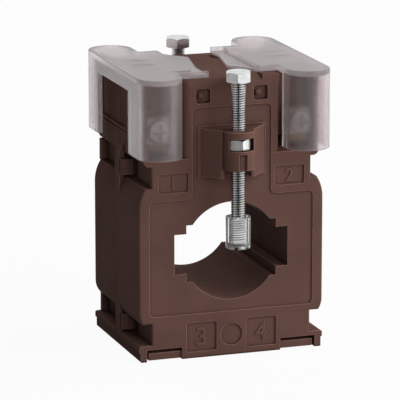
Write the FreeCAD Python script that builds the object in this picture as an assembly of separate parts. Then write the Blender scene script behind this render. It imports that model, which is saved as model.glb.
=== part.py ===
import FreeCAD, Part
import math
import os

# Window-type current transformer: moulded two-part housing round a taped ring core,
# two clear terminal covers and a clamp screw in front of and behind the opening.
# Millimetres, +Z up, front face at -Y, origin in the middle of the underside of the base.

# Housing
BODY_WIDTH = 66.0
BODY_DEPTH = 50.0
HOUSING_TOP = 96.0
SEAM_Y = 1.5
WALL = 2.0
SIDE_WALL = 1.6
FLANGE_TOP = 5.6
FLANGE_LIP = 2.2
FLANGE_INSET = 0.5
LOBE_BOTTOM = 13.0
LOBE_TOP = 60.0
SHOULDER_RADIUS = 13.0
SHOULDER_START = 52.7
HIP_RADIUS = 7.0
HIP_START = 17.0
NECK_INSET = 4.5
REAR_PLATE_INSET = 2.0
NECK_POCKET_DEPTH = 3.5
NECK_POCKET_LENGTH = 7.1
BLOCK_BOTTOM = 67.5
BLOCK_INSET = 1.8
BLOCK_EDGE = 2.0
FACE_EDGE = 0.8
GAP = 0.3

# Terminal chambers and the pillar between them
PILLAR_WIDTH = 34.2
PILLAR_EDGE = 2.5
PILLAR_TOP_EDGE = 2.2
CHAMBER_DEPTH = 11.0
CHAMBER_FLOOR = 69.5
CHAMBER_WALL = 1.4
CHAMBER_CORNER = 3.0
SCALLOP_DEPTH = 0.7
SCALLOP_PITCH = 3.5
SCALLOP_COUNT = 6
SCALLOP_DROP = 5.5
PASSAGE_WIDTH = 24.0
CATCH_WIDTH = 5.7
CATCH_DEPTH = 5.0
CATCH_HEIGHT = 0.5
CATCH_INSET = 0.6
TOP_POCKET_INNER = 5.2
TOP_POCKET_OUTER = 14.5
TOP_POCKET_FRONT = 11.0
TOP_POCKET_BACK = 16.5
TOP_POCKET_DEPTH = 1.2
REAR_LEDGE_DEPTH = 5.2
REAR_LEDGE_HEIGHT = 2.6

# Sunk panels in the block's sides, over two thin ledges
SIDE_PANEL_DEPTH = 0.5
SIDE_PANEL_BOTTOM = 77.0
SIDE_PANEL_TOP = 90.6
SIDE_PANEL_END = 21.0
SIDE_PANEL_WAVE = 3.4
SIDE_LEDGE = 0.5
SIDE_LEDGE_PROUD = 0.3
SIDE_LEDGE_PITCH = 1.5

# Window through the housing
WINDOW_Z = 36.5
WINDOW_RADIUS = 17.0
TALL_WIDTH = 32.1
TALL_HEIGHT = 19.8
BAR_WIDTH = 40.6
BAR_HEIGHT = 13.8
SLEEVE_WALL = 1.3

# Ring core, winding and tape, all centred on the window
RING_RUN = 0.5
CORE_SETBACK = 5.5
TAPE_WALL = 0.35
WINDING_WALL = 0.9
CORE_WRAP_WALL = 0.35
LEAD_RADIUS = 0.8

# Panels and pockets of the faces
PANEL_DEPTH = 0.4
PANEL_INSET = 3.8
PANEL_BOTTOM = 15.5
PANEL_STEP = 55.2
PANEL_NECK = 28.0
PANEL_TOP = 86.5
PANEL_CORNER = 1.8
POCKET_DEPTH = 0.5
POCKET_CORNER = 0.8
HIGH_POCKET_INSET = 12.25
HIGH_POCKET_WIDTH = 10.5
HIGH_POCKET_Z = 61.3
HIGH_POCKET_HEIGHT = 6.6
LOW_POCKET_X = 10.75
LOW_POCKET_WIDTH = 10.7
LOW_POCKET_Z = 7.25
LOW_POCKET_HEIGHT = 10.1
ROUND_POCKET_RADIUS = 3.85
EYE_X = 10.2
EYE_WIDTH = 5.0
EYE_DROP = 5.6
EYE_DEPTH = 1.3

# Slots of the base
FOOT_SLOT_INSET = 2.7
FOOT_SLOT_LENGTH = 12.6
FOOT_SLOT_Z = 2.8
FOOT_SLOT_HEIGHT = 1.3
FOOT_SLOT_DEPTH = 6.0
FOOT_LIP_SETBACK = 0.6
FOOT_LIP_RISE = 0.4

# Snap hooks that hold the rear half on the front half
RIB_WIDTH = 5.0
RIB_WALL = 1.8
RIB_TOP = 72.0
RIB_CORNER = 4.0
HOOK_BOTTOM = 60.9
HOOK_HEIGHT = 5.3
LOW_HOOK_BOTTOM = 6.6
ARM_WALL = 2.2
HOOK_REACH = 7.1
HOOK_ROOT = 3.5
HOOK_HEAD = 1.8

# Nut holders and clamp screws
SCREW_STANDOFF = 6.3
PEDESTAL_WIDTH = 24.0
PEDESTAL_RIM = 0.7
HOLDER_FRONT = 11.8
HOLDER_BOTTOM = 62.4
HOLDER_TOP = 79.5
BOSS_RADIUS = 5.45
BOSS_BOTTOM = 66.4
BOSS_GROOVE_WIDTH = 2.8
BOSS_GROOVE_DEPTH = 1.1
NUT_FLATS = 8.0
NUT_HEIGHT = 3.8
NUT_WINDOW_BOTTOM = 73.0
NUT_WINDOW_HEIGHT = 4.3
THREAD = 5.0
THREAD_RUN = 0.05
BOSS_BORE = 5.5
HEAD_FLATS = 8.0
HEAD_HEIGHT = 3.5
HEAD_TURN = 21.7
SCREW_LENGTH = 55.0
FRONT_HEAD_Z = 96.0
REAR_HEAD_Z = 96.6
CAP_RADIUS = 4.3
CAP_HEIGHT = 10.6
CAP_FLOOR = 1.75
CAP_NOTCH = 1.5
CAP_TAPER = 0.15

# Terminals
TERMINAL_INSET = 4.8
TERMINAL_Z = 79.0
STRIP_WIDTH = 9.0
STRIP_THICK = 1.5
STRIP_FLOOR = 71.0
STRIP_TOP = 84.0
TAB_SETBACK = 6.0
TERMINAL_THREAD = 4.0
TERMINAL_HEAD_RADIUS = 4.0
TERMINAL_HEAD_HEIGHT = 2.6
TERMINAL_SCREW_LENGTH = 7.0
WASHER_SIDE = 8.6
WASHER_THICK = 1.0
SLOT_WIDTH = 1.0

# Terminal covers
COVER_PROUD = 1.0
COVER_SEAT = 0.25
COVER_PLATE = 2.0
COVER_WALL = 1.6
COVER_INNER = 12.0
COVER_EDGE = 0.4
LOBE_RADIUS = 7.75
LOBE_PROUD = 1.4
LOBE_DROP = 27.25
SKIRT_DROP = 5.85
SKIRT_SETBACK = 8.3
PLAIN_SETBACK = 6.6
ARM_THICK = 0.9
ARM_TIP = 3.8
ARM_SLOPE = 5.0
COMB_THICK = 1.0
COMB_END = 7.5
COMB_PITCH = 2.8
COMB_NOTCH = 1.0
FRONT_COMB_SETBACK = 2.3
REAR_COMB_SETBACK = 6.5

vec = FreeCAD.Vector
HALF_DEPTH = BODY_DEPTH / 2
HALF_WIDTH = BODY_WIDTH / 2
HALF_NECK = HALF_WIDTH - NECK_INSET
HALF_BLOCK = HALF_WIDTH - BLOCK_INSET
HALF_PILLAR = PILLAR_WIDTH / 2
CHAMBER_OUTER = HALF_BLOCK - CHAMBER_WALL
CHAMBER_BACK = HALF_DEPTH - CHAMBER_DEPTH
CAVITY_RADIUS = HALF_WIDTH - SIDE_WALL
TAPE_INNER = math.hypot(BAR_WIDTH / 2 + SLEEVE_WALL, BAR_HEIGHT / 2 + SLEEVE_WALL) + RING_RUN
TAPE_OUTER = CAVITY_RADIUS - GAP
AXIS_Y = HALF_DEPTH + SCREW_STANDOFF
TERMINAL_X = CHAMBER_OUTER - TERMINAL_INSET
TAB_Y = HALF_DEPTH - TAB_SETBACK
COVER_X = HALF_WIDTH + COVER_PROUD
COVER_UNDER = HOUSING_TOP + COVER_SEAT
COVER_TOP = COVER_UNDER + COVER_PLATE
LOBE_Y = HALF_DEPTH + LOBE_PROUD


def box(x0, x1, y0, y1, z0, z1):
    return Part.makeBox(x1 - x0, y1 - y0, z1 - z0, vec(x0, y0, z0))


def upright(radius, x, y, z0, z1):
    return Part.makeCylinder(radius, z1 - z0, vec(x, y, z0))


def level(radius, x, z, y0, y1):
    return Part.makeCylinder(radius, y1 - y0, vec(x, y0, z), vec(0, 1, 0))


def turned(shape):
    """The shape turned half a turn about the vertical axis."""
    copy = shape.copy()
    copy.rotate(vec(0, 0, 0), vec(0, 0, 1), 180)
    return copy


def mirrored(shape):
    """The shape mirrored to the other side of the middle plane."""
    return shape.mirror(vec(0, 0, 0), vec(1, 0, 0))


def both_sides(shape):
    return shape.fuse(mirrored(shape))


def flat_face(corners):
    """Face through the corners (a, b, radius), rounded where the radius isn't zero."""
    stops = []
    for here, before, after in zip(corners, corners[-1:] + corners[:-1], corners[1:] + corners[:1]):
        point = vec(here[0], here[1], 0)
        if here[2] == 0:
            stops.append((point, None, point))
            continue
        back = (vec(before[0], before[1], 0) - point).normalize()
        ahead = (vec(after[0], after[1], 0) - point).normalize()
        half = back.getAngle(ahead) / 2
        run = here[2] / math.tan(half)
        inward = (back + ahead).normalize()
        crown = point + inward * (here[2] / math.sin(half) - here[2])
        stops.append((point + back * run, crown, point + ahead * run))
    edges = []
    for (start, crown, end), following in zip(stops, stops[1:] + stops[:1]):
        if crown is not None:
            edges.append(Part.Arc(start, crown, end).toShape())
        if (following[0] - end).Length > 1e-6:
            edges.append(Part.makeLine(end, following[0]))
    return Part.Face(Part.Wire(edges))


def prism_z(corners, z0, z1):
    """Plan outline of (x, y, radius) corners, raised from z0 to z1."""
    shape = flat_face(corners)
    shape.translate(vec(0, 0, z0))
    return shape.extrude(vec(0, 0, z1 - z0))


def prism_y(corners, y0, y1):
    """Front outline of (x, z, radius) corners, from y0 back to y1."""
    shape = flat_face(corners)
    shape.rotate(vec(0, 0, 0), vec(1, 0, 0), 90)
    shape.translate(vec(0, y0, 0))
    return shape.extrude(vec(0, y1 - y0, 0))


def pad(x, width, z, height, radius):
    """Corners of an upright rounded rectangle about (x, z)."""
    left = x - width / 2
    right = x + width / 2
    low = z - height / 2
    high = z + height / 2
    return [(left, low, radius), (right, low, radius), (right, high, radius), (left, high, radius)]


def edges_where(shape, test):
    return [edge for edge in shape.Edges if all(test(vertex.Point) for vertex in edge.Vertexes)]


def hexagon(flats, z0, z1, turn):
    """Hexagonal bar with one corner at the given angle from -Y, seen from above clockwise."""
    reach = flats / math.sqrt(3)
    corners = []
    for step in range(6):
        angle = math.radians(-90 - turn + 60 * step)
        corners.append((reach * math.cos(angle), reach * math.sin(angle), 0))
    return prism_z(corners, z0, z1)


def window(grow, y0, y1):
    """Round hole for a cable, with the tall and the wide slot for busbars across it."""
    shape = level(WINDOW_RADIUS + grow, 0, WINDOW_Z, y0, y1)
    for width, height in ((TALL_WIDTH, TALL_HEIGHT), (BAR_WIDTH, BAR_HEIGHT)):
        across = width / 2 + grow
        up = height / 2 + grow
        shape = shape.fuse(box(-across, across, y0, y1, WINDOW_Z - up, WINDOW_Z + up))
    return shape


def eased(shape, y):
    """The shape with its outline at the face y eased."""
    return shape.makeFillet(FACE_EDGE, edges_where(shape, lambda p: abs(p.y - y) < 1e-6))


def lobes(split):
    """Main body round the ring core, with its wide shoulders and hips."""
    low = HIP_START - HIP_RADIUS
    high = SHOULDER_START + SHOULDER_RADIUS
    whole = prism_y([(-HALF_WIDTH, low, HIP_RADIUS), (HALF_WIDTH, low, HIP_RADIUS),
                     (HALF_WIDTH, high, SHOULDER_RADIUS), (-HALF_WIDTH, high, SHOULDER_RADIUS)],
                    -HALF_DEPTH, split)
    band = box(-HALF_WIDTH - 1, HALF_WIDTH + 1, -HALF_DEPTH - 1, split + 1, LOBE_BOTTOM, LOBE_TOP)
    return eased(whole.common(band), -HALF_DEPTH)


def column(split):
    """Middle of the body, seen as the necks over and under the lobes."""
    shape = box(-HALF_NECK, HALF_NECK, -HALF_DEPTH, split, FLANGE_TOP / 2, CHAMBER_FLOOR)
    fronts = edges_where(shape, lambda p: abs(p.y + HALF_DEPTH) < 1e-6)
    corners = [edge for edge in fronts if abs(edge.Vertexes[0].Z - edge.Vertexes[1].Z) > 1]
    return shape.makeFillet(FACE_EDGE, corners)


def flange(split):
    """Base flange with its proud upper lip."""
    lip = FLANGE_TOP - FLANGE_LIP
    inner = HALF_WIDTH - FLANGE_INSET
    shape = prism_y([(-inner, 0, 0.4), (inner, 0, 0.4), (inner, lip, 0), (HALF_WIDTH, lip, 0.3),
                     (HALF_WIDTH, FLANGE_TOP, 0.7), (-HALF_WIDTH, FLANGE_TOP, 0.7),
                     (-HALF_WIDTH, lip, 0.3), (-inner, lip, 0)], -HALF_DEPTH, split)
    return shape


def block(split):
    """Terminal block with the front pillar and the two chambers beside it."""
    shape = prism_y([(-HALF_BLOCK, BLOCK_BOTTOM, BLOCK_EDGE), (HALF_BLOCK, BLOCK_BOTTOM, BLOCK_EDGE),
                     (HALF_BLOCK, HOUSING_TOP, 0), (-HALF_BLOCK, HOUSING_TOP, 0)], -HALF_DEPTH, split)
    front = -HALF_DEPTH - 1
    cutter = prism_z([(HALF_PILLAR, front, 0), (CHAMBER_OUTER, front, 0),
                      (CHAMBER_OUTER, -CHAMBER_BACK, CHAMBER_CORNER),
                      (HALF_PILLAR, -CHAMBER_BACK, CHAMBER_CORNER)], CHAMBER_FLOOR, HOUSING_TOP + 1)
    shape = shape.cut(both_sides(cutter))
    root = -CHAMBER_BACK - CHAMBER_CORNER
    head = box(-HALF_PILLAR - 1, HALF_PILLAR + 1, front, root, CHAMBER_FLOOR, HOUSING_TOP + 1)
    pillar = prism_z([(-HALF_PILLAR, -HALF_DEPTH, PILLAR_EDGE), (HALF_PILLAR, -HALF_DEPTH, PILLAR_EDGE),
                      (HALF_PILLAR, root, 0), (-HALF_PILLAR, root, 0)], CHAMBER_FLOOR, HOUSING_TOP)
    rim = [edge for edge in edges_where(pillar, lambda p: abs(p.z - HOUSING_TOP) < 1e-6)
           if min(vertex.Y for vertex in edge.Vertexes) < root - 0.1]
    pillar = pillar.makeFillet(PILLAR_TOP_EDGE, rim)
    return shape.cut(head).fuse(pillar)


def nut_holder():
    """Wedge on the face that ends in the half-round boss over the clamp screw."""
    edge = PEDESTAL_WIDTH / 2
    root = edge - PEDESTAL_RIM
    nose = HOLDER_FRONT / 2
    pedestal = box(-edge, edge, -HALF_DEPTH, -HALF_DEPTH + WALL / 2, HOLDER_BOTTOM, HOLDER_TOP + PEDESTAL_RIM)
    wedge = prism_z([(-root, -HALF_DEPTH + WALL / 2, 0), (-root, -HALF_DEPTH, 0), (-nose, -AXIS_Y + GAP, 0),
                     (nose, -AXIS_Y + GAP, 0), (root, -HALF_DEPTH, 0), (root, -HALF_DEPTH + WALL / 2, 0)],
                    HOLDER_BOTTOM + PEDESTAL_RIM, HOLDER_TOP)
    relief = upright(CAP_RADIUS + 2 * GAP, 0, -AXIS_Y, HOLDER_BOTTOM, BOSS_BOTTOM)
    boss = upright(BOSS_RADIUS, 0, -AXIS_Y, BOSS_BOTTOM, HOLDER_TOP)
    half = BOSS_GROOVE_WIDTH / 2
    nose_y = -AXIS_Y - BOSS_RADIUS
    groove = box(-half, half, nose_y - 1, nose_y + BOSS_GROOVE_DEPTH, BOSS_BOTTOM - 1, NUT_WINDOW_BOTTOM - 1)
    return wedge.cut(relief).fuse([boss.cut(groove), pedestal])


def nut_seat():
    """Hexagonal pocket for the captive nut, open to the front, and the bore for the screw."""
    low = NUT_WINDOW_BOTTOM
    high = low + NUT_WINDOW_HEIGHT
    across = NUT_FLATS / 2 + GAP
    mouth = box(-across, across, -AXIS_Y - 2 * BOSS_RADIUS, -AXIS_Y + NUT_FLATS / 4, low, high)
    seat = hexagon(2 * across, low, high, 0)
    seat.translate(vec(0, -AXIS_Y, 0))
    bore = upright(BOSS_BORE / 2, 0, -AXIS_Y, HOLDER_BOTTOM, HOLDER_TOP + 1)
    return mouth.fuse(seat).fuse(bore)


def face_marks():
    """T-shaped panel and the bare marking pockets sunk into a face."""
    wide = HALF_WIDTH - PANEL_INSET
    neck = PANEL_NECK / 2
    face = -HALF_DEPTH
    right = [(wide, PANEL_BOTTOM), (wide, PANEL_STEP), (neck, PANEL_STEP), (neck, PANEL_TOP)]
    left = [(-x, z) for x, z in reversed(right)]
    cuts = prism_y([(x, z, PANEL_CORNER) for x, z in right + left], face - 1, face + PANEL_DEPTH)
    high_x = HALF_WIDTH - HIGH_POCKET_INSET
    high = pad(high_x, HIGH_POCKET_WIDTH, HIGH_POCKET_Z, HIGH_POCKET_HEIGHT, POCKET_CORNER)
    low = pad(LOW_POCKET_X, LOW_POCKET_WIDTH, LOW_POCKET_Z, LOW_POCKET_HEIGHT, POCKET_CORNER)
    for corners in (high, low):
        cuts = cuts.fuse(both_sides(prism_y(corners, face - 1, face + POCKET_DEPTH)))
    cuts = cuts.fuse(level(ROUND_POCKET_RADIUS, 0, LOW_POCKET_Z, face - 1, face + POCKET_DEPTH))
    z = HOUSING_TOP - EYE_DROP
    for x in (-EYE_X, EYE_X):
        cuts = cuts.fuse(prism_y(pad(x, EYE_WIDTH, z, EYE_WIDTH, POCKET_CORNER), face - 1, face + EYE_DEPTH))
    return cuts


def eye_knobs():
    """Round knobs that stand up to the face in the two small pockets at its top."""
    knobs = []
    for x in (-EYE_X, EYE_X):
        centre = vec(x - EYE_WIDTH / 6, -HALF_DEPTH + EYE_DEPTH, HOUSING_TOP - EYE_DROP)
        knobs.append(Part.makeSphere(EYE_DEPTH, centre))
    return knobs[0].fuse(knobs[1])


def foot_slots():
    """Slots along the foot of a face for a mounting plate's edge, with the lip under them set back."""
    outer = HALF_WIDTH - FOOT_SLOT_INSET
    inner = outer - FOOT_SLOT_LENGTH
    front = -HALF_DEPTH - 1
    deep = -HALF_DEPTH + FOOT_SLOT_DEPTH
    middle = FOOT_SLOT_Z + FOOT_SLOT_HEIGHT / 2
    slot = box(inner, outer, front, deep, FOOT_SLOT_Z, FOOT_SLOT_Z + FOOT_SLOT_HEIGHT)
    lip = box(inner, outer, front, -HALF_DEPTH + FOOT_LIP_SETBACK, -1, middle)
    under = box(inner, outer, front, deep, -1, FOOT_LIP_RISE)
    gap = box(outer - 2 * FOOT_LIP_RISE, outer, front, deep, -1, middle)
    return both_sides(slot.fuse([lip, under, gap]))


def hollow(split):
    """Room for the ring core round the window's sleeve, and for the wiring above it."""
    inner = -HALF_DEPTH + WALL
    ring = level(CAVITY_RADIUS, 0, WINDOW_Z, inner, split + 1)
    ring = ring.cut(window(SLEEVE_WALL, inner - 1, split + 2))
    side = PASSAGE_WIDTH / 2
    passage = box(-side, side, inner, split + 1, LOBE_TOP, CHAMBER_FLOOR + WALL)
    roof = HOUSING_TOP - REAR_LEDGE_HEIGHT - WALL
    room = HALF_PILLAR - WALL
    middle = box(-room, room, inner, split + 1, CHAMBER_FLOOR + GAP, roof)
    wiring = box(-CHAMBER_OUTER, CHAMBER_OUTER, -CHAMBER_BACK + WALL, split + 1, CHAMBER_FLOOR + GAP, roof)
    return ring.fuse(passage).fuse(middle).fuse(wiring)


def terminal_slots():
    """Slots in the chambers' back walls for the terminal strips and the screws' ends."""
    half = STRIP_WIDTH / 2 + GAP
    front = -CHAMBER_BACK - CHAMBER_CORNER
    back = -CHAMBER_BACK + WALL + 1
    low = STRIP_FLOOR - GAP
    high = STRIP_FLOOR + STRIP_THICK + GAP
    return both_sides(box(TERMINAL_X - half, TERMINAL_X + half, front, back, low, high))


def scallops():
    """Row of small round notches down the free edge of each chamber's outer wall."""
    radius = SCALLOP_PITCH / 2
    notches = []
    for step in range(SCALLOP_COUNT):
        z = HOUSING_TOP - SCALLOP_DROP - SCALLOP_PITCH * step
        start = vec(CHAMBER_OUTER - CHAMBER_WALL / 2, 0, z)
        notches.append(Part.makeCylinder(radius, 2 * CHAMBER_WALL, start, vec(1, 0, 0)))
    row = notches[0].fuse(notches[1:])
    row.translate(vec(0, -HALF_DEPTH - radius + SCALLOP_DEPTH, 0))
    return both_sides(row)


def side_panels(split):
    """Sunk panel in each side of the block, with a wavy front end on the left."""
    floor = HALF_BLOCK - SIDE_PANEL_DEPTH
    right = box(floor, HALF_BLOCK + 1, -SIDE_PANEL_END, split + 1, SIDE_PANEL_BOTTOM, SIDE_PANEL_TOP)
    left = mirrored(box(floor, HALF_BLOCK + 1, -SIDE_PANEL_WAVE, split + 1, SIDE_PANEL_BOTTOM, SIDE_PANEL_TOP))
    start = vec(-HALF_BLOCK - 1, -SIDE_PANEL_WAVE, 0)
    for share in (0.25, 0.75):
        start.z = SIDE_PANEL_BOTTOM + share * (SIDE_PANEL_TOP - SIDE_PANEL_BOTTOM)
        left = left.fuse(Part.makeCylinder(SIDE_PANEL_WAVE, SIDE_PANEL_DEPTH + 1, start, vec(1, 0, 0)))
    return right.fuse(left)


def side_ledges(split):
    """Two thin ledges under the sunk panel of each side."""
    bars = []
    for step in (0, 1):
        top = SIDE_PANEL_BOTTOM - SIDE_LEDGE_PITCH * step
        bars.append(box(HALF_BLOCK - SIDE_PANEL_DEPTH, HALF_BLOCK + SIDE_LEDGE_PROUD, -SIDE_PANEL_END, split,
                        top - SIDE_LEDGE, top))
    return both_sides(bars[0].fuse(bars[1]))


def top_pockets(split):
    """Shallow pockets in the top that the covers' arms lie over."""
    low = HOUSING_TOP - TOP_POCKET_DEPTH
    high = HOUSING_TOP + 1
    right = box(TOP_POCKET_INNER, TOP_POCKET_OUTER, -TOP_POCKET_FRONT, split + 1, low, high)
    return right.fuse(box(-TOP_POCKET_OUTER, -TOP_POCKET_INNER, -TOP_POCKET_BACK, split + 1, low, high))


def half_body(split):
    """Half of the housing, from its face at the front back to the split plane."""
    shape = flange(split).fuse([column(split), lobes(split), block(split)])
    shape = shape.removeSplitter().cut(face_marks())
    shape = shape.cut(side_panels(split)).fuse([nut_holder(), eye_knobs(), side_ledges(split)])
    for tool in (nut_seat(), foot_slots(), hollow(split), terminal_slots(), scallops(), top_pockets(split)):
        shape = shape.cut(tool)
    return shape.cut(window(0, -HALF_DEPTH - 1, split + 1))


def catch():
    """Low block on the front's top edge that the right cover's arm ends at."""
    right = HALF_PILLAR - CATCH_INSET
    shape = box(right - CATCH_WIDTH, right, -HALF_DEPTH, -HALF_DEPTH + CATCH_DEPTH,
                HOUSING_TOP - PILLAR_TOP_EDGE, HOUSING_TOP + CATCH_HEIGHT)
    return shape.makeFillet(GAP, edges_where(shape, lambda p: p.z > HOUSING_TOP))


def neck_levels():
    """Heights of the lower and the upper neck beside the lobes."""
    return ((FLANGE_TOP, LOBE_BOTTOM), (LOBE_TOP, BLOCK_BOTTOM))


def front_shell():
    """Front half: ribs over both necks that the rear half's hooks pass under, and pockets for the hooks."""
    shape = half_body(SEAM_Y).fuse(catch())
    back = SEAM_Y - RIB_WIDTH
    for low, high in neck_levels():
        pocket = box(HALF_NECK - NECK_POCKET_DEPTH, HALF_NECK + 1, back - NECK_POCKET_LENGTH, back, low, high)
        shape = shape.cut(both_sides(pocket))
    inner = HALF_WIDTH - RIB_WALL
    rib = prism_y([(inner, FLANGE_TOP - 1, 0), (HALF_WIDTH, FLANGE_TOP - 1, 0),
                   (HALF_WIDTH, RIB_TOP - 2 * RIB_WALL, RIB_CORNER), (inner, RIB_TOP, 0)], back, SEAM_Y)
    return shape.fuse(both_sides(rib)).removeSplitter()


def rear_shell():
    """Rear half, built with its face at the front and turned: end plates, four snap hooks and a ledge."""
    split = -SEAM_Y
    shape = half_body(split)
    plate = HALF_WIDTH - REAR_PLATE_INSET
    for low, high in neck_levels():
        shape = shape.fuse(both_sides(box(HALF_NECK - 1, plate, -HALF_DEPTH, -HALF_DEPTH + WALL, low, high)))
    arm_inner = HALF_NECK + GAP
    arm_outer = arm_inner + ARM_WALL
    rib_front = RIB_WIDTH - SEAM_Y
    for low in (LOW_HOOK_BOTTOM, HOOK_BOTTOM):
        hook = prism_z([(HALF_NECK - 1, split - HOOK_ROOT, 0), (arm_outer, split - HOOK_ROOT, 0),
                        (arm_outer, rib_front + GAP, 0), (arm_outer + HOOK_HEAD, rib_front + GAP, 0.2),
                        (arm_outer + HOOK_HEAD, rib_front + 1, 0.2), (arm_outer, split + HOOK_REACH, 0.2),
                        (arm_inner, split + HOOK_REACH, 0), (arm_inner, split, 0), (HALF_NECK - 1, split, 0)],
                       low, low + HOOK_HEIGHT)
        shape = shape.fuse(both_sides(hook))
    ledge = box(-HALF_PILLAR - 1, HALF_PILLAR + 1, -HALF_DEPTH - 1, -HALF_DEPTH + REAR_LEDGE_DEPTH,
                HOUSING_TOP - REAR_LEDGE_HEIGHT, HOUSING_TOP + 1)
    return turned(shape.removeSplitter().cut(ledge))


def ring(inner, outer, half_length):
    whole = level(outer, 0, WINDOW_Z, -half_length, half_length)
    return whole.cut(level(inner, 0, WINDOW_Z, -half_length, half_length))


def ring_parts():
    """Ring core with its wrap, the secondary winding and the outer tape, each round the one before."""
    inner = TAPE_INNER
    outer = TAPE_OUTER
    half_length = HALF_DEPTH - CORE_SETBACK + TAPE_WALL + WINDING_WALL + CORE_WRAP_WALL
    seam = box(-GAP, GAP, -HALF_DEPTH, HALF_DEPTH, 0, WINDOW_Z)
    parts = {}
    layers = (("outer_tape", TAPE_WALL), ("secondary_winding", WINDING_WALL), ("core_wrap", CORE_WRAP_WALL))
    for name, wall in layers:
        whole = ring(inner, outer, half_length)
        inner += wall
        outer -= wall
        half_length -= wall
        parts[name] = whole.cut(ring(inner, outer, half_length)).cut(seam)
    parts["ring_core"] = ring(inner, outer, half_length)
    start = WINDOW_Z + (TAPE_INNER + TAPE_OUTER) / 2
    for x in (-lead_x(), lead_x()):
        parts["outer_tape"] = parts["outer_tape"].cut(upright(LEAD_RADIUS + GAP / 3, x, 0, start, HOUSING_TOP))
    return parts


def lead_x():
    return TERMINAL_X / 4


def lead_wire():
    """Wire from the winding's end up through the tape and across onto the right terminal strip."""
    outer = TAPE_OUTER - TAPE_WALL
    start = WINDOW_Z + math.sqrt(outer ** 2 - (lead_x() - LEAD_RADIUS) ** 2)
    z = STRIP_FLOOR + STRIP_THICK + LEAD_RADIUS
    rise = upright(LEAD_RADIUS, lead_x(), 0, start, z)
    across = Part.makeCylinder(LEAD_RADIUS, TERMINAL_X - lead_x(), vec(lead_x(), 0, z), vec(1, 0, 0))
    return rise.fuse([across, Part.makeSphere(LEAD_RADIUS, vec(lead_x(), 0, z))])


def terminal_strip():
    """Brass strip along the right side with a threaded tab in the front and in the rear chamber."""
    half = STRIP_WIDTH / 2
    outer = TAB_Y + STRIP_THICK
    left = TERMINAL_X - half
    right = TERMINAL_X + half
    strip = box(left, right, -outer, outer, STRIP_FLOOR, STRIP_FLOOR + STRIP_THICK)
    tab = box(left, right, TAB_Y, outer, STRIP_FLOOR, STRIP_TOP)
    strip = strip.fuse([tab, box(left, right, -outer, -TAB_Y, STRIP_FLOOR, STRIP_TOP)])
    bends = edges_where(strip, lambda p: p.z < STRIP_FLOOR + 0.1 and abs(p.y) > outer - 0.1)
    strip = strip.makeFillet(STRIP_THICK * 0.8, bends)
    return strip.cut(level(TERMINAL_THREAD / 2 + THREAD_RUN, TERMINAL_X, TERMINAL_Z, -outer - 1, outer + 1))


def terminal_washer():
    """Square clamp washer on the front right tab."""
    half = WASHER_SIDE / 2
    outer = TAB_Y + STRIP_THICK
    plate = prism_y(pad(TERMINAL_X, 2 * half, TERMINAL_Z, 2 * half, GAP), -outer - WASHER_THICK, -outer)
    bore = TERMINAL_THREAD / 2 + 2 * THREAD_RUN
    return plate.cut(level(bore, TERMINAL_X, TERMINAL_Z, -outer - 2, -outer + 1))


def terminal_screw():
    """Pan-head screw with a cross slot in the front right chamber."""
    y = -TAB_Y - STRIP_THICK - WASHER_THICK - THREAD_RUN
    head = level(TERMINAL_HEAD_RADIUS, TERMINAL_X, TERMINAL_Z, y - TERMINAL_HEAD_HEIGHT, y)
    head = head.makeFillet(TERMINAL_HEAD_HEIGHT / 3, edges_where(head, lambda p: p.y < y - 0.1))
    long = TERMINAL_HEAD_RADIUS * 1.3
    for wide, high in ((long, SLOT_WIDTH), (SLOT_WIDTH, long)):
        cross = pad(TERMINAL_X, wide, TERMINAL_Z, high, 0)
        head = head.cut(prism_y(cross, y - TERMINAL_HEAD_HEIGHT - 1, y - TERMINAL_HEAD_HEIGHT / 2))
    return head.fuse(level(TERMINAL_THREAD / 2, TERMINAL_X, TERMINAL_Z, y, y + TERMINAL_SCREW_LENGTH))


def chamfered_hexagon(flats, height, turn, easing):
    """Hexagonal head or nut whose corners are turned off at the top and at the bottom."""
    shape = hexagon(flats, 0, height, turn)
    rim = flats / 2 * 0.97
    top = Part.makeCone(rim + height * math.sqrt(3), rim, height)
    wide = rim + easing
    bottom = Part.makeCone(wide, wide + height * math.sqrt(3), height)
    return shape.common(top).common(bottom)


def clamp_nut():
    nut = chamfered_hexagon(NUT_FLATS, NUT_HEIGHT, 0, 0)
    nut.translate(vec(0, -AXIS_Y, NUT_WINDOW_BOTTOM))
    top = NUT_WINDOW_BOTTOM + NUT_HEIGHT
    return nut.cut(upright(THREAD / 2 + THREAD_RUN, 0, -AXIS_Y, NUT_WINDOW_BOTTOM - 1, top + 1))


def clamp_screw(head_z):
    """Long hexagon-head screw in front of the window, pointing down."""
    head = chamfered_hexagon(HEAD_FLATS, HEAD_HEIGHT, HEAD_TURN, HEAD_FLATS / 40)
    head.translate(vec(0, -AXIS_Y, head_z))
    return head.fuse(upright(THREAD / 2, 0, -AXIS_Y, head_z - SCREW_LENGTH, head_z))


def screw_cap(head_z):
    """Clear pressure cap on the tip of a clamp screw, with a notched foot."""
    floor = head_z - SCREW_LENGTH - THREAD_RUN
    low = floor - CAP_FLOOR
    cap = Part.makeCone(CAP_RADIUS - CAP_TAPER, CAP_RADIUS, CAP_HEIGHT, vec(0, -AXIS_Y, low))
    for step in range(3):
        reach = CAP_RADIUS + 1
        notch = box(-reach, reach, -CAP_NOTCH / 2, CAP_NOTCH / 2, low - 1, low + CAP_FLOOR / 2)
        notch.rotate(vec(0, 0, 0), vec(0, 0, 1), 60 * step)
        notch.translate(vec(0, -AXIS_Y, 0))
        cap = cap.cut(notch)
    return cap.cut(upright(THREAD / 2 + THREAD_RUN, 0, -AXIS_Y, floor, low + CAP_HEIGHT + 1))


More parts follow.
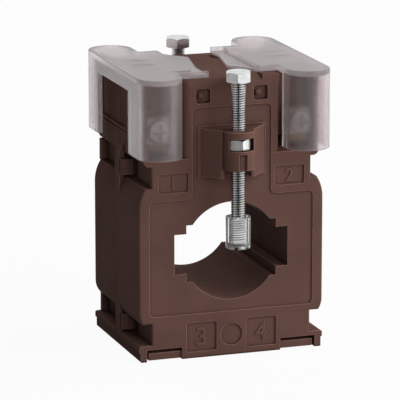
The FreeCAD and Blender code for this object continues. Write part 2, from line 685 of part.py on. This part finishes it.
def cover_lobe():
    """Front lobe of the right cover: a half-round hood over the terminal screw, open below."""
    x = COVER_X - LOBE_RADIUS
    back = SKIRT_SETBACK - HALF_DEPTH
    low = COVER_TOP - LOBE_DROP
    inner = LOBE_RADIUS - COVER_WALL
    outside = upright(LOBE_RADIUS, x, -LOBE_Y, low, COVER_TOP)
    outside = outside.fuse(box(x - LOBE_RADIUS, COVER_X, -LOBE_Y, back, low, COVER_TOP))
    inside = upright(inner, x, -LOBE_Y, low - 1, COVER_UNDER)
    inside = inside.fuse(box(x - inner, COVER_X - COVER_WALL, -LOBE_Y, back + 1, low - 1, COVER_UNDER))
    mouth = box(x - LOBE_RADIUS - 1, x, -HALF_DEPTH + COVER_WALL, back + 1, low - 1, COVER_UNDER)
    return outside.cut(inside).cut(mouth)


def cover_arm(comb_setback):
    """Thin arm of the right cover on the housing's top, with the upright comb along its rear edge."""
    comb_y = HALF_DEPTH - comb_setback
    root = COVER_X - 2 * LOBE_RADIUS + 1
    plain = PLAIN_SETBACK - HALF_DEPTH
    arm = prism_z([(root, plain, 0), (COVER_INNER - 1, plain, 0), (2 * ARM_TIP, plain + ARM_SLOPE, 1),
                   (ARM_TIP, plain / 2, 1.2), (COMB_END, -plain / 2, 3), (COMB_END, comb_y, 0), (root, comb_y, 0)],
                  COVER_UNDER, COVER_UNDER + ARM_THICK)
    comb = box(COMB_END, root, comb_y - COMB_THICK, comb_y, COVER_UNDER, COVER_TOP)
    for step in range(3):
        x = COMB_END + COMB_PITCH * (step + 0.5)
        comb = comb.cut(box(x, x + COMB_NOTCH, comb_y - 2 * COMB_THICK, comb_y - COMB_THICK / 2,
                            COVER_UNDER + ARM_THICK, COVER_TOP + 1))
    return arm.fuse(comb)


def right_cover(comb_setback):
    """Clear cover: top plate, side skirt, two lobes, and a thin arm that reaches over the housing's top."""
    lobe = cover_lobe()
    rear_lobe = lobe.mirror(vec(0, 0, 0), vec(0, 1, 0))
    front = PLAIN_SETBACK - HALF_DEPTH
    back = HALF_DEPTH - PLAIN_SETBACK
    plate = prism_z([(COVER_INNER, front, 0.8), (COVER_X, front, 0),
                     (COVER_X, back, 0), (COVER_INNER, back, 0.8)], COVER_UNDER, COVER_TOP)
    end = HALF_DEPTH - SKIRT_SETBACK + 1
    skirt = box(COVER_X - COVER_WALL, COVER_X, -end, end, COVER_TOP - SKIRT_DROP, COVER_TOP)
    shape = plate.fuse([lobe, rear_lobe, skirt]).removeSplitter()
    rim = [edge for edge in edges_where(shape, lambda p: abs(p.z - COVER_TOP) < 1e-6)
           if all(v.X > COVER_X - 1e-6 or abs(v.Y) > LOBE_Y - 1e-6 for v in edge.Vertexes)]
    return shape.makeFillet(COVER_EDGE, rim).fuse(cover_arm(comb_setback)).removeSplitter()


def write(name, shape):
    shape.exportStep("parts/" + name + ".step")


os.makedirs("parts", exist_ok=True)
write("front_shell", front_shell())
write("rear_shell", rear_shell())
for name, shape in ring_parts().items():
    write(name, shape)
write("right_lead", lead_wire())
write("left_lead", mirrored(lead_wire()))
write("right_terminal_strip", terminal_strip())
write("left_terminal_strip", mirrored(terminal_strip()))
for name, shape in (("terminal_screw", terminal_screw()), ("terminal_washer", terminal_washer())):
    write("front_right_" + name, shape)
    write("rear_left_" + name, turned(shape))
    write("front_left_" + name, mirrored(shape))
    write("rear_right_" + name, turned(mirrored(shape)))
write("front_clamp_nut", clamp_nut())
write("rear_clamp_nut", turned(clamp_nut()))
write("front_clamp_screw", clamp_screw(FRONT_HEAD_Z))
write("rear_clamp_screw", turned(clamp_screw(REAR_HEAD_Z)))
write("front_screw_cap", screw_cap(FRONT_HEAD_Z))
write("rear_screw_cap", turned(screw_cap(REAR_HEAD_Z)))
write("right_cover", right_cover(REAR_COMB_SETBACK))
write("left_cover", turned(right_cover(FRONT_COMB_SETBACK)))
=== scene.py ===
import math

import bmesh
import bpy
from bpy.props import FloatProperty, FloatVectorProperty, PointerProperty
from mathutils import Matrix, Vector


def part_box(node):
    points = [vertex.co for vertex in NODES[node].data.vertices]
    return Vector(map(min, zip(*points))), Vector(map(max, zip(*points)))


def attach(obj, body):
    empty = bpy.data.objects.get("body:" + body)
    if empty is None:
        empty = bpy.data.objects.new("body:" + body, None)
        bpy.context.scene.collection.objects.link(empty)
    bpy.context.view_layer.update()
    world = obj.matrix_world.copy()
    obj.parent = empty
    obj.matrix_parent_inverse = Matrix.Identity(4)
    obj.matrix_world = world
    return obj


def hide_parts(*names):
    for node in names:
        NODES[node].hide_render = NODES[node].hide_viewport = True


bl_info = {
    "name": "Current Transformer Dresser",
    "version": (1, 0, 0),
    "blender": (4, 5, 0),
    "location": "View3D > Sidebar > Transformer",
    "description": "Finishes, threads and studio for a window-type current transformer",
    "category": "Object",
}

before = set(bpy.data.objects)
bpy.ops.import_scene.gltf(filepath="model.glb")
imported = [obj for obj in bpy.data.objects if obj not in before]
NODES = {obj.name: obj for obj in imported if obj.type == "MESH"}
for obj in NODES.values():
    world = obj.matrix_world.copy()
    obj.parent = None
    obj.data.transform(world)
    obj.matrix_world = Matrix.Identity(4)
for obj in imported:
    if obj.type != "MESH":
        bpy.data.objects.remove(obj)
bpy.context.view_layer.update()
MM = 0.001

HOUSING = ("front_shell", "rear_shell")
COVERS = ("left_cover", "right_cover")
CAPS = ("front_screw_cap", "rear_screw_cap")
CLAMP_SCREWS = {"front_clamp_screw": "front_screw", "rear_clamp_screw": "rear_screw"}
CORNERS = ("front_left", "front_right", "rear_left", "rear_right")
TERMINALS = tuple(c + "_terminal_" + kind for c in CORNERS for kind in ("screw", "washer"))
CLAMP_NUTS = ("front_clamp_nut", "rear_clamp_nut")
STRIPS = ("left_terminal_strip", "right_terminal_strip")
WINDINGS = ("secondary_winding", "left_lead", "right_lead")

HOUSING_FACE = 25 * MM
SEAM_Y = 1.5 * MM
SEAM_HALF_WIDTH = 0.14 * MM
SCREW_RADIUS = 2.5 * MM
HEAD_HEIGHT = 3.5 * MM
THREAD_STEPS = 28
UPPER_FIGURE = (20.75 * MM, 61.3 * MM)
LOWER_FIGURE = (10.75 * MM, 7.25 * MM)
COVER_RIBS = ((24.5 * MM, 4.3 * MM, 8 * MM), (24 * MM, -3.5 * MM, 8.5 * MM))
CAMERA_PLACE = (-0.35991, -1.03097, 0.3086)
CAMERA_TILT = math.radians(76.6)
CAMERA_TURN = math.radians(-19.11)


class FinishSettings(bpy.types.PropertyGroup):
    """Colours and gloss of the moulded and plated parts"""
    housing_colour: FloatVectorProperty(
        name="Housing", description="Colour of the brown moulding", subtype="COLOR",
        size=3, min=0, max=1, default=(0.088, 0.047, 0.039))
    housing_roughness: FloatProperty(
        name="Housing roughness", description="How dull the brown moulding is", default=0.55, min=0, max=1,
        subtype="FACTOR")
    cover_colour: FloatVectorProperty(
        name="Covers", description="Tint of the clear covers", subtype="COLOR",
        size=3, min=0, max=1, default=(0.74, 0.67, 0.68))
    cover_milkiness: FloatProperty(
        name="Milkiness", description="Share of the covers that scatters light", default=0.05, min=0, max=1,
        subtype="FACTOR")
    cover_roughness: FloatProperty(
        name="Cover haze", description="How much the covers blur what is behind them", default=0.27,
        min=0, max=1, subtype="FACTOR")
    plating_colour: FloatVectorProperty(
        name="Plating", description="Colour of the zinc plating", subtype="COLOR",
        size=3, min=0, max=1, default=(0.92, 0.93, 0.92))


class ThreadSettings(bpy.types.PropertyGroup):
    """Thread of the long clamp screws"""
    pitch: FloatProperty(
        name="Pitch", description="Rise of the clamp thread in one turn", default=0.8 * MM, min=0.2 * MM,
        unit="LENGTH", precision=5)
    depth: FloatProperty(
        name="Depth", description="Depth of the clamp thread", default=0.45 * MM, min=0.05 * MM,
        unit="LENGTH", precision=5)


class MarkSettings(bpy.types.PropertyGroup):
    """Raised terminal numbers"""
    high_size: FloatProperty(
        name="Upper size", description="Size of the figures beside the nut holder", default=6.2 * MM, min=MM,
        unit="LENGTH", precision=5)
    low_size: FloatProperty(
        name="Lower size", description="Size of the figures at the foot", default=9.0 * MM, min=MM,
        unit="LENGTH", precision=5)
    height: FloatProperty(
        name="Height", description="Thickness of the figures in their pocket", default=0.45 * MM,
        min=0.1 * MM, unit="LENGTH", precision=5)
    pocket_depth: FloatProperty(
        name="Pocket depth", description="Depth of the marking pockets", default=0.5 * MM, min=0,
        unit="LENGTH", precision=5)


class RibSettings(bpy.types.PropertyGroup):
    """Thin ribs on the covers"""
    width: FloatProperty(
        name="Width", description="Width of a rib", default=0.5 * MM, min=0.1 * MM,
        unit="LENGTH", precision=5)
    height: FloatProperty(
        name="Height", description="How far a rib stands out of the cover", default=0.2 * MM, min=0.05 * MM,
        unit="LENGTH", precision=5)


class StageSettings(bpy.types.PropertyGroup):
    """Studio round the transformer"""
    key_power: FloatProperty(
        name="Key light", description="Power of the soft light at the right", default=14.0, min=0,
        unit="POWER")
    front_power: FloatProperty(
        name="Front light", description="Power of the soft light beside the camera", default=8.6, min=0,
        unit="POWER")
    back_power: FloatProperty(
        name="Back light", description="Power of the soft light above and behind", default=7.5, min=0,
        unit="POWER")
    world_level: FloatProperty(
        name="Room", description="Level of the light that comes from all round", default=0.05, min=0)
    dark_side: FloatProperty(
        name="Dark side", description="Level that gloss shows of the room on the camera's side",
        default=0.35, min=0)
    lens: FloatProperty(
        name="Lens", description="Focal length on a 36 mm sensor, in millimetres", default=293.3, min=20)


def socket(node, name):
    return node.inputs[name]


def new_material(name, colour, roughness, metallic=0.0):
    """A material with its shader, node tree and object coordinates."""
    material = bpy.data.materials.new(name)
    material.use_nodes = True
    nodes = material.node_tree.nodes
    shader = nodes["Principled BSDF"]
    socket(shader, "Base Color").default_value = (*colour, 1)
    socket(shader, "Roughness").default_value = roughness
    socket(shader, "Metallic").default_value = metallic
    place = nodes.new("ShaderNodeTexCoord")
    return material, shader, place


def link(material, output, target):
    material.node_tree.links.new(output, target)


def noise(material, place, scale, detail=3.0):
    """Noise on object coordinates, with scale in features per metre."""
    node = material.node_tree.nodes.new("ShaderNodeTexNoise")
    socket(node, "Scale").default_value = scale
    socket(node, "Detail").default_value = detail
    link(material, place.outputs["Object"], socket(node, "Vector"))
    return node


def ramp(material, factor, low, high, start=0.3, end=0.7):
    """Colour ramp from low to high."""
    node = material.node_tree.nodes.new("ShaderNodeValToRGB")
    node.color_ramp.elements[0].position = start
    node.color_ramp.elements[0].color = (*low, 1)
    node.color_ramp.elements[1].position = end
    node.color_ramp.elements[1].color = (*high, 1)
    link(material, factor, socket(node, "Fac"))
    return node.outputs["Color"]


def shade(colour, factor):
    return tuple(min(1.0, part * factor) for part in colour)


def multiplied(material, colour, light):
    """The colour times the light."""
    mix = material.node_tree.nodes.new("ShaderNodeMix")
    mix.data_type = "RGBA"
    mix.blend_type = "MULTIPLY"
    mix.inputs["Factor"].default_value = 1.0
    link(material, colour, mix.inputs["A"])
    link(material, light, mix.inputs["B"])
    return mix.outputs["Result"]


def painted_groove_shade(material, colour, reach, depth, start=0.3, end=0.8, alone=True):
    """The colour with painted shade: darkened where other faces, of the piece alone or of all, stand within
    reach.
    """
    near = material.node_tree.nodes.new("ShaderNodeAmbientOcclusion")
    near.samples = 8
    near.only_local = alone
    socket(near, "Distance").default_value = reach
    light = ramp(material, near.outputs["AO"], (depth, depth, depth), (1, 1, 1), start, end)
    return multiplied(material, colour, light)


def eased_normal(material, radius):
    """Normal of the surface as if its edges were rounded by the radius."""
    eased = material.node_tree.nodes.new("ShaderNodeBevel")
    eased.samples = 6
    socket(eased, "Radius").default_value = radius
    return eased.outputs["Normal"]


def painted_edge_highlights(material, colour, width, gain):
    """The colour with painted highlights: lightened on the eased edges of the piece."""
    nodes = material.node_tree.nodes
    eased = eased_normal(material, width)
    plain = nodes.new("ShaderNodeNewGeometry")
    bend = nodes.new("ShaderNodeVectorMath")
    bend.operation = "DOT_PRODUCT"
    link(material, eased, bend.inputs[0])
    link(material, plain.outputs["Normal"], bend.inputs[1])
    light = ramp(material, bend.outputs["Value"], (gain, gain, gain), (1, 1, 1), 0.86, 0.99)
    return multiplied(material, colour, light)


def mottled(material, place, scale, colour, low, high):
    """The colour, varied between two factors in soft patches."""
    cloud = noise(material, place, scale)
    return ramp(material, cloud.outputs["Fac"], shade(colour, low), shade(colour, high))


def surface_relief(material, shader, height, strength, distance, edge=0.0):
    """Bump of the surface over edges eased by the given radius."""
    bump = material.node_tree.nodes.new("ShaderNodeBump")
    socket(bump, "Strength").default_value = strength
    socket(bump, "Distance").default_value = distance
    link(material, height, socket(bump, "Height"))
    if edge:
        link(material, eased_normal(material, edge), socket(bump, "Normal"))
    link(material, bump.outputs["Normal"], socket(shader, "Normal"))


def dress(names, material):
    """Gives CAD nodes a material."""
    for name in names:
        mesh = NODES[name].data
        mesh.materials.clear()
        mesh.materials.append(material)


def plating(name, colour, roughness):
    """Bright plating with cloudy patches and painted shade in its grooves."""
    material, shader, place = new_material(name, colour, roughness, metallic=1.0)
    cloudy = mottled(material, place, 260.0, colour, 0.82, 1.12)
    # painted shade in the thread's grooves and other close hollows of the piece
    link(material, painted_groove_shade(material, cloudy, 0.5 * MM, 0.12), socket(shader, "Base Color"))
    fine = noise(material, place, 4200.0, 2.0)
    surface_relief(material, shader, fine.outputs["Fac"], 0.08, 0.00005, 0.0001)
    return material


class TRANSFORMER_OT_housing_finish(bpy.types.Operator):
    """Gives both halves of the housing their brown moulded finish, with painted highlights on the edges and
    painted shade in grooves, corners and between parts
    """
    bl_idname = "transformer.housing_finish"
    bl_label = "Housing finish"

    def execute(self, context):
        settings = context.scene.transformer_finish
        colour = tuple(settings.housing_colour)
        material, shader, place = new_material("brown_moulding", colour, settings.housing_roughness)
        nodes = material.node_tree.nodes
        split = nodes.new("ShaderNodeSeparateXYZ")
        link(material, place.outputs["Object"], split.inputs[0])
        seam = nodes.new("ShaderNodeMath")
        seam.operation = "COMPARE"
        seam.inputs[1].default_value = SEAM_Y
        seam.inputs[2].default_value = SEAM_HALF_WIDTH
        link(material, split.outputs["Y"], seam.inputs[0])
        seamed = nodes.new("ShaderNodeMix")
        seamed.data_type = "RGBA"
        link(material, seam.outputs[0], seamed.inputs["Factor"])
        link(material, mottled(material, place, 55.0, colour, 0.9, 1.1), seamed.inputs["A"])
        seamed.inputs["B"].default_value = (*shade(colour, 0.15), 1)
        # painted highlights on the housing's eased edges
        edge_highlighted = painted_edge_highlights(material, seamed.outputs["Result"], 0.35 * MM, 3.2)
        # painted shade where faces of this or any other part stand within 1.1 mm
        groove_shaded = painted_groove_shade(material, edge_highlighted, 1.1 * MM, 0.25, 0.45, 0.95, alone=False)
        link(material, groove_shaded, socket(shader, "Base Color"))
        socket(shader, "Specular IOR Level").default_value = 0.004
        fine = noise(material, place, 2600.0, 2.0)
        surface_relief(material, shader, fine.outputs["Fac"], 0.06, 0.00006, 0.00022)
        dress(HOUSING, material)
        return {"FINISHED"}


class TRANSFORMER_OT_clear_finish(bpy.types.Operator):
    """Gives the terminal covers and the screw caps their clear, slightly milky finish"""
    bl_idname = "transformer.clear_finish"
    bl_label = "Clear finish"

    def execute(self, context):
        settings = context.scene.transformer_finish
        tint = tuple(settings.cover_colour)
        for name, pieces, colour, milk, haze in (
                ("clear_cover", COVERS, tint, settings.cover_milkiness, settings.cover_roughness),
                ("clear_cap", CAPS, (0.82, 0.83, 0.83), 0.06, 0.06)):
            material, shader, place = new_material(name, colour, haze)
            link(material, mottled(material, place, 90.0, colour, 0.94, 1.05), socket(shader, "Base Color"))
            socket(shader, "Transmission Weight").default_value = 1 - milk
            socket(shader, "IOR").default_value = 1.4
            socket(shader, "Specular IOR Level").default_value = 0.15
            fine = noise(material, place, 300.0, 2.0)
            surface_relief(material, shader, fine.outputs["Fac"], 0.05, 0.0001)
            dress(pieces, material)
            for node in pieces:
                NODES[node].visible_shadow = False
        return {"FINISHED"}


class TRANSFORMER_OT_inner_finish(bpy.types.Operator):
    """Gives the core, windings, tape, leads and terminal metal their finishes, the terminal metal darkened
    as painted shade
    """
    bl_idname = "transformer.inner_finish"
    bl_label = "Core and terminals"

    def execute(self, context):
        colour = tuple(context.scene.transformer_finish.plating_colour)
        dress(CLAMP_NUTS, plating("zinc_plate", colour, 0.28))
        # the terminal screws and washers get a darker copy of the plating: painted shade for their covered
        # chambers
        dress(TERMINALS, plating("shaded_terminal_plate", shade(colour, 0.46), 0.4))
        for name, pieces, colour, roughness, metallic, scale in (
                ("terminal_brass", STRIPS, (0.24, 0.18, 0.11), 0.4, 1.0, 400.0),
                ("copper_wire", WINDINGS, (0.5, 0.17, 0.07), 0.3, 0.9, 900.0),
                ("core_steel", ("ring_core",), (0.13, 0.13, 0.14), 0.4, 1.0, 700.0),
                ("core_wrap_film", ("core_wrap",), (0.6, 0.55, 0.38), 0.5, 0.0, 500.0),
                ("winding_tape", ("outer_tape",), (0.55, 0.43, 0.07), 0.45, 0.0, 500.0)):
            material, shader, place = new_material(name, colour, roughness, metallic)
            link(material, mottled(material, place, scale, colour, 0.8, 1.15), socket(shader, "Base Color"))
            grain = noise(material, place, scale)
            surface_relief(material, shader, grain.outputs["Fac"], 0.1, 0.0001)
            dress(pieces, material)
        return {"FINISHED"}


def merged_copy(node):
    """A bmesh of a CAD node's mesh with its loose triangles joined."""
    mesh = bmesh.new()
    mesh.from_mesh(NODES[node].data)
    bmesh.ops.remove_doubles(mesh, verts=mesh.verts, dist=1e-6)
    return mesh


def cut_level(mesh, z, side):
    """Cuts a closed bmesh at a height, drops the upper (1) or lower (-1) side and closes the cut."""
    everything = mesh.verts[:] + mesh.edges[:] + mesh.faces[:]
    bmesh.ops.bisect_plane(
        mesh, geom=everything, dist=1e-7, plane_co=(0, 0, z), plane_no=(0, 0, side), clear_outer=True)
    open_edges = [edge for edge in mesh.edges if edge.is_boundary]
    rim = [edge for edge in open_edges if all(abs(vert.co.z - z) < 1e-6 for vert in edge.verts)]
    bmesh.ops.contextual_create(mesh, geom=rim)


def new_piece(name, mesh, material, body):
    """Turns a bmesh into a finished piece on a body."""
    bmesh.ops.recalc_face_normals(mesh, faces=mesh.faces)
    data = bpy.data.meshes.new(name)
    mesh.to_mesh(data)
    mesh.free()
    data.materials.append(material)
    piece = bpy.data.objects.new(name, data)
    bpy.context.scene.collection.objects.link(piece)
    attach(piece, body)
    return piece


def threaded_rod(axis, low, high, radius, depth, pitch):
    """A closed rod along Z with a right-hand thread, its lower end eased."""
    turns = math.ceil((high - low) / pitch) + 2
    mesh = bmesh.new()
    root = radius - depth
    flat = pitch / 5
    profile = ((root, 0), (radius, pitch / 2 - flat / 2), (radius, pitch / 2 + flat / 2), (root, pitch))
    verts = [mesh.verts.new((r, 0, z + low - pitch)) for r, z in profile]
    edges = [mesh.edges.new(pair) for pair in zip(verts, verts[1:])]
    bmesh.ops.spin(mesh, geom=verts + edges, cent=(0, 0, 0), axis=(0, 0, 1), use_merge=False,
                   dvec=(0, 0, pitch / THREAD_STEPS), angle=2 * math.pi * turns, steps=THREAD_STEPS * turns)
    bmesh.ops.remove_doubles(mesh, verts=mesh.verts, dist=pitch / 100)
    cut_level(mesh, low, -1)
    cut_level(mesh, high, 1)
    chamfer = depth * 1.2
    for vert in mesh.verts:
        short = max(0.0, low + chamfer - vert.co.z)
        reach = math.hypot(vert.co.x, vert.co.y)
        limit = radius - short
        if reach > limit:
            vert.co.x *= limit / reach
            vert.co.y *= limit / reach
    bmesh.ops.translate(mesh, verts=mesh.verts, vec=(axis[0], axis[1], 0))
    return mesh


class TRANSFORMER_OT_clamp_screws(bpy.types.Operator):
    """Builds the long hexagon-head clamp screws with their threads"""
    bl_idname = "transformer.clamp_screws"
    bl_label = "Clamp screws"

    def execute(self, context):
        thread = context.scene.transformer_thread
        colour = tuple(context.scene.transformer_finish.plating_colour)
        bright = plating("screw_plate", colour, 0.22)
        for node, body in CLAMP_SCREWS.items():
            low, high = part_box(node)
            head_z = high.z - HEAD_HEIGHT
            centre = (low + high) / 2
            head = merged_copy(node)
            cut_level(head, head_z, -1)
            stem = threaded_rod(
                centre.xy, low.z, head_z + 0.2 * MM, SCREW_RADIUS, thread.depth, thread.pitch)
            stem_mesh = bpy.data.meshes.new("stem")
            stem.to_mesh(stem_mesh)
            stem.free()
            head.from_mesh(stem_mesh)
            bpy.data.meshes.remove(stem_mesh)
            piece = new_piece(node + "_threaded", head, bright, body)
            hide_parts(node)
        return {"FINISHED"}


class TRANSFORMER_OT_cover_ribs(bpy.types.Operator):
    """Raises two thin ribs on the top of each clear cover"""
    bl_idname = "transformer.cover_ribs"
    bl_label = "Cover ribs"

    def execute(self, context):
        ribs = context.scene.transformer_ribs
        material = bpy.data.materials["clear_cover"]
        for node, side in zip(COVERS, (-1, 1)):
            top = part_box(node)[1].z
            mesh = bmesh.new()
            for x, y, length in COVER_RIBS:
                size = Matrix.Diagonal((length, ribs.width, 2 * ribs.height, 1))
                place = Matrix.Translation((side * x, side * y, top))
                bmesh.ops.create_cube(mesh, size=1.0, matrix=place @ size)
            bmesh.ops.bevel(mesh, geom=mesh.edges[:], offset=ribs.height / 2, offset_type="OFFSET",
                            segments=2, profile=0.5, affect="EDGES", material=-1)
            piece = new_piece(node + "_ribs", mesh, material, node)
            piece.visible_shadow = False
        return {"FINISHED"}


def raised_numeral(text, size, height, centre):
    """A raised figure on a face that looks to the front or, turned, to the rear."""
    curve = bpy.data.curves.new("figure_" + text, "FONT")
    curve.body = text
    curve.size = size
    curve.extrude = height / 2
    curve.bevel_depth = height / 6
    curve.align_x = "CENTER"
    curve.align_y = "CENTER"
    shape = bpy.data.objects.new("figure", curve)
    bpy.context.scene.collection.objects.link(shape)
    mesh = bmesh.new()
    mesh.from_mesh(shape.to_mesh())
    bpy.data.objects.remove(shape)
    bpy.data.curves.remove(curve)
    low = min(vert.co.y for vert in mesh.verts)
    high = max(vert.co.y for vert in mesh.verts)
    bmesh.ops.translate(mesh, verts=mesh.verts, vec=(0, -(low + high) / 2, 0))
    facing = math.pi if centre[1] > 0 else 0
    upright = Matrix.Rotation(facing, 4, "Z") @ Matrix.Rotation(math.pi / 2, 4, "X")
    bmesh.ops.transform(mesh, verts=mesh.verts, matrix=Matrix.Translation(centre) @ upright)
    return mesh


class TRANSFORMER_OT_figures(bpy.types.Operator):
    """Raises plain terminal numbers in the marking pockets of both faces"""
    bl_idname = "transformer.figures"
    bl_label = "Terminal numbers"

    def execute(self, context):
        marks = context.scene.transformer_marks
        material = bpy.data.materials["brown_moulding"]
        face = HOUSING_FACE - marks.pocket_depth
        for node, side in zip(HOUSING, (-1, 1)):
            for text, half, (x, z), size in (
                    ("1", 1, UPPER_FIGURE, marks.high_size), ("2", -1, UPPER_FIGURE, marks.high_size),
                    ("3", 1, LOWER_FIGURE, marks.low_size), ("4", -1, LOWER_FIGURE, marks.low_size)):
                mesh = raised_numeral(text, size, marks.height, (side * half * x, side * face, z))
                new_piece(node + "_figure_" + text, mesh, material, "housing")
        return {"FINISHED"}


def look_at(obj, target):
    obj.rotation_euler = (Vector(target) - obj.location).to_track_quat("-Z", "Y").to_euler()


def staged(name, mesh, material):
    """Turns a bmesh into a piece of the studio."""
    data = bpy.data.meshes.new(name)
    mesh.to_mesh(data)
    mesh.free()
    data.materials.append(material)
    piece = bpy.data.objects.new(name, data)
    bpy.context.scene.collection.objects.link(piece)
    return piece


def seen_rays(tree, behind):
    """1 for rays from the camera or through glass, and the given value for glossy ones."""
    path = tree.nodes.new("ShaderNodeLightPath")
    value = behind
    for operation, ray in (("MULTIPLY", "Is Glossy Ray"), ("MAXIMUM", "Is Transmission Ray"),
                           ("MAXIMUM", "Is Camera Ray")):
        step = tree.nodes.new("ShaderNodeMath")
        step.operation = operation
        tree.links.new(value, step.inputs[0])
        tree.links.new(path.outputs[ray], step.inputs[1])
        value = step.outputs[0]
    return value


class TRANSFORMER_OT_stage(bpy.types.Operator):
    """Sets the floor, backdrop, lights, room and camera"""
    bl_idname = "transformer.stage"
    bl_label = "Stage"

    def execute(self, context):
        scene = context.scene
        settings = scene.transformer_stage
        self.lay_floor()
        self.stand_dark_card()
        self.light_room(scene, settings)
        self.hang_lamps(scene, settings)
        self.place_camera(scene, settings)
        scene.view_settings.view_transform = "Standard"
        return {"FINISHED"}

    def lay_floor(self):
        """A pale floor that looks white and keeps the transformer's shadow."""
        mesh = bmesh.new()
        bmesh.ops.create_grid(mesh, x_segments=1, y_segments=1, size=3.0)
        material, shader, place = new_material("pale_floor", (0.5, 0.5, 0.5), 0.9)
        nodes = material.node_tree.nodes
        parts = nodes.new("ShaderNodeSeparateXYZ")
        link(material, place.outputs["Object"], parts.inputs[0])
        behind = nodes.new("ShaderNodeMapRange")
        behind.inputs["From Min"].default_value = -0.05
        behind.inputs["From Max"].default_value = 0.1
        link(material, parts.outputs["Y"], behind.inputs["Value"])
        seen = nodes.new("ShaderNodeMath")
        seen.operation = "MULTIPLY"
        seen.inputs[1].default_value = 0.94
        link(material, seen_rays(material.node_tree, behind.outputs["Result"]), seen.inputs[0])
        glow = nodes.new("ShaderNodeEmission")
        mix = nodes.new("ShaderNodeMixShader")
        link(material, seen.outputs[0], mix.inputs["Fac"])
        link(material, shader.outputs[0], mix.inputs[1])
        link(material, glow.outputs[0], mix.inputs[2])
        link(material, mix.outputs[0], nodes["Material Output"].inputs["Surface"])
        staged("floor", mesh, material)

    def stand_dark_card(self):
        """A dark card on the floor and before the camera that only polished surfaces show."""
        mesh = bmesh.new()
        ends = [mesh.verts.new((side * 0.1, -0.07, 0.0005)) for side in (-1, 1)]
        edges = [mesh.edges.new(ends)]
        for move in ((0, -0.45, 0), (0, 0, 0.9)):
            grown = bmesh.ops.extrude_edge_only(mesh, edges=edges)["geom"]
            edges = [item for item in grown if isinstance(item, bmesh.types.BMEdge)]
            moved = [item for item in grown if isinstance(item, bmesh.types.BMVert)]
            bmesh.ops.translate(mesh, verts=moved, vec=move)
        bmesh.ops.rotate(mesh, verts=mesh.verts, matrix=Matrix.Rotation(CAMERA_TURN, 3, "Z"))
        card = staged("dark_card", mesh, new_material("dark_card", (0.01, 0.01, 0.012), 0.9)[0])
        for ray in ("camera", "diffuse", "transmission", "shadow", "volume_scatter"):
            setattr(card, "visible_" + ray, False)

    def light_room(self, scene, settings):
        """A white room for the camera and for glass, darker on the camera's side for gloss."""
        world = bpy.data.worlds.new("room")
        scene.world = world
        world.use_nodes = True
        nodes = world.node_tree.nodes
        links = world.node_tree.links
        background = nodes["Background"]
        background.inputs["Color"].default_value = (1, 1, 1, 1)
        direction = nodes.new("ShaderNodeTexCoord")
        facing = nodes.new("ShaderNodeVectorMath")
        facing.operation = "DOT_PRODUCT"
        facing.inputs[1].default_value = (math.sin(CAMERA_TURN), -math.cos(CAMERA_TURN), 0)
        links.new(direction.outputs["Generated"], facing.inputs[0])
        behind = nodes.new("ShaderNodeMapRange")
        behind.inputs["From Min"].default_value = 0.0
        behind.inputs["From Max"].default_value = 0.6
        behind.inputs["To Min"].default_value = 0.8
        behind.inputs["To Max"].default_value = settings.dark_side
        links.new(facing.outputs["Value"], behind.inputs["Value"])
        strength = nodes.new("ShaderNodeMath")
        strength.operation = "MAXIMUM"
        strength.inputs[1].default_value = settings.world_level
        links.new(seen_rays(world.node_tree, behind.outputs["Result"]), strength.inputs[0])
        links.new(strength.outputs[0], background.inputs["Strength"])

    def hang_lamps(self, scene, settings):
        """Soft lamps at the right, in front and behind that neither gloss nor glass shows."""
        for name, power, place, width, height in (
                ("key", settings.key_power, (0.62, -0.22, 0.36), 1.0, 0.9),
                ("front", settings.front_power, (-0.05, -1.2, 0.55), 1.0, 0.8),
                ("back", settings.back_power, (-0.05, 1.0, 0.6), 0.8, 0.7)):
            data = bpy.data.lights.new(name, "AREA")
            data.shape = "RECTANGLE"
            data.size = width
            data.size_y = height
            data.energy = power
            lamp = bpy.data.objects.new(name, data)
            lamp.location = place
            look_at(lamp, (0, 0, 0.05))
            lamp.visible_glossy = False
            lamp.visible_transmission = False
            scene.collection.objects.link(lamp)

    def place_camera(self, scene, settings):
        data = bpy.data.cameras.new("camera")
        data.sensor_width = 36
        data.lens = settings.lens
        data.clip_start = 0.05
        data.clip_end = 20
        camera = bpy.data.objects.new("camera", data)
        camera.location = CAMERA_PLACE
        camera.rotation_euler = (CAMERA_TILT, 0, CAMERA_TURN)
        scene.collection.objects.link(camera)
        scene.camera = camera


class TRANSFORMER_PT_panel(bpy.types.Panel):
    """Operators and settings of the transformer"""
    bl_idname = "TRANSFORMER_PT_panel"
    bl_label = "Current transformer"
    bl_space_type = "VIEW_3D"
    bl_region_type = "UI"
    bl_category = "Transformer"

    def draw(self, context):
        for operator in OPERATORS:
            self.layout.operator(operator.bl_idname)
        scene = context.scene
        for settings in (getattr(scene, name) for name in SETTINGS):
            box = self.layout.box()
            for name in settings.__annotations__:
                box.prop(settings, name)


OPERATORS = (
    TRANSFORMER_OT_housing_finish, TRANSFORMER_OT_clear_finish, TRANSFORMER_OT_inner_finish,
    TRANSFORMER_OT_clamp_screws, TRANSFORMER_OT_cover_ribs, TRANSFORMER_OT_figures, TRANSFORMER_OT_stage)
SETTINGS = {"transformer_finish": FinishSettings, "transformer_thread": ThreadSettings,
            "transformer_ribs": RibSettings, "transformer_marks": MarkSettings,
            "transformer_stage": StageSettings}


def register():
    for group in (*SETTINGS.values(), *OPERATORS, TRANSFORMER_PT_panel):
        bpy.utils.register_class(group)
    for name, group in SETTINGS.items():
        setattr(bpy.types.Scene, name, PointerProperty(type=group))


def unregister():
    for name in SETTINGS:
        delattr(bpy.types.Scene, name)
    for group in (TRANSFORMER_PT_panel, *reversed(OPERATORS), *reversed(tuple(SETTINGS.values()))):
        bpy.utils.unregister_class(group)


def main():
    register()
    for operator in OPERATORS:
        family, name = operator.bl_idname.split(".")
        getattr(getattr(bpy.ops, family), name)()


if __name__ == "__main__":
    main()
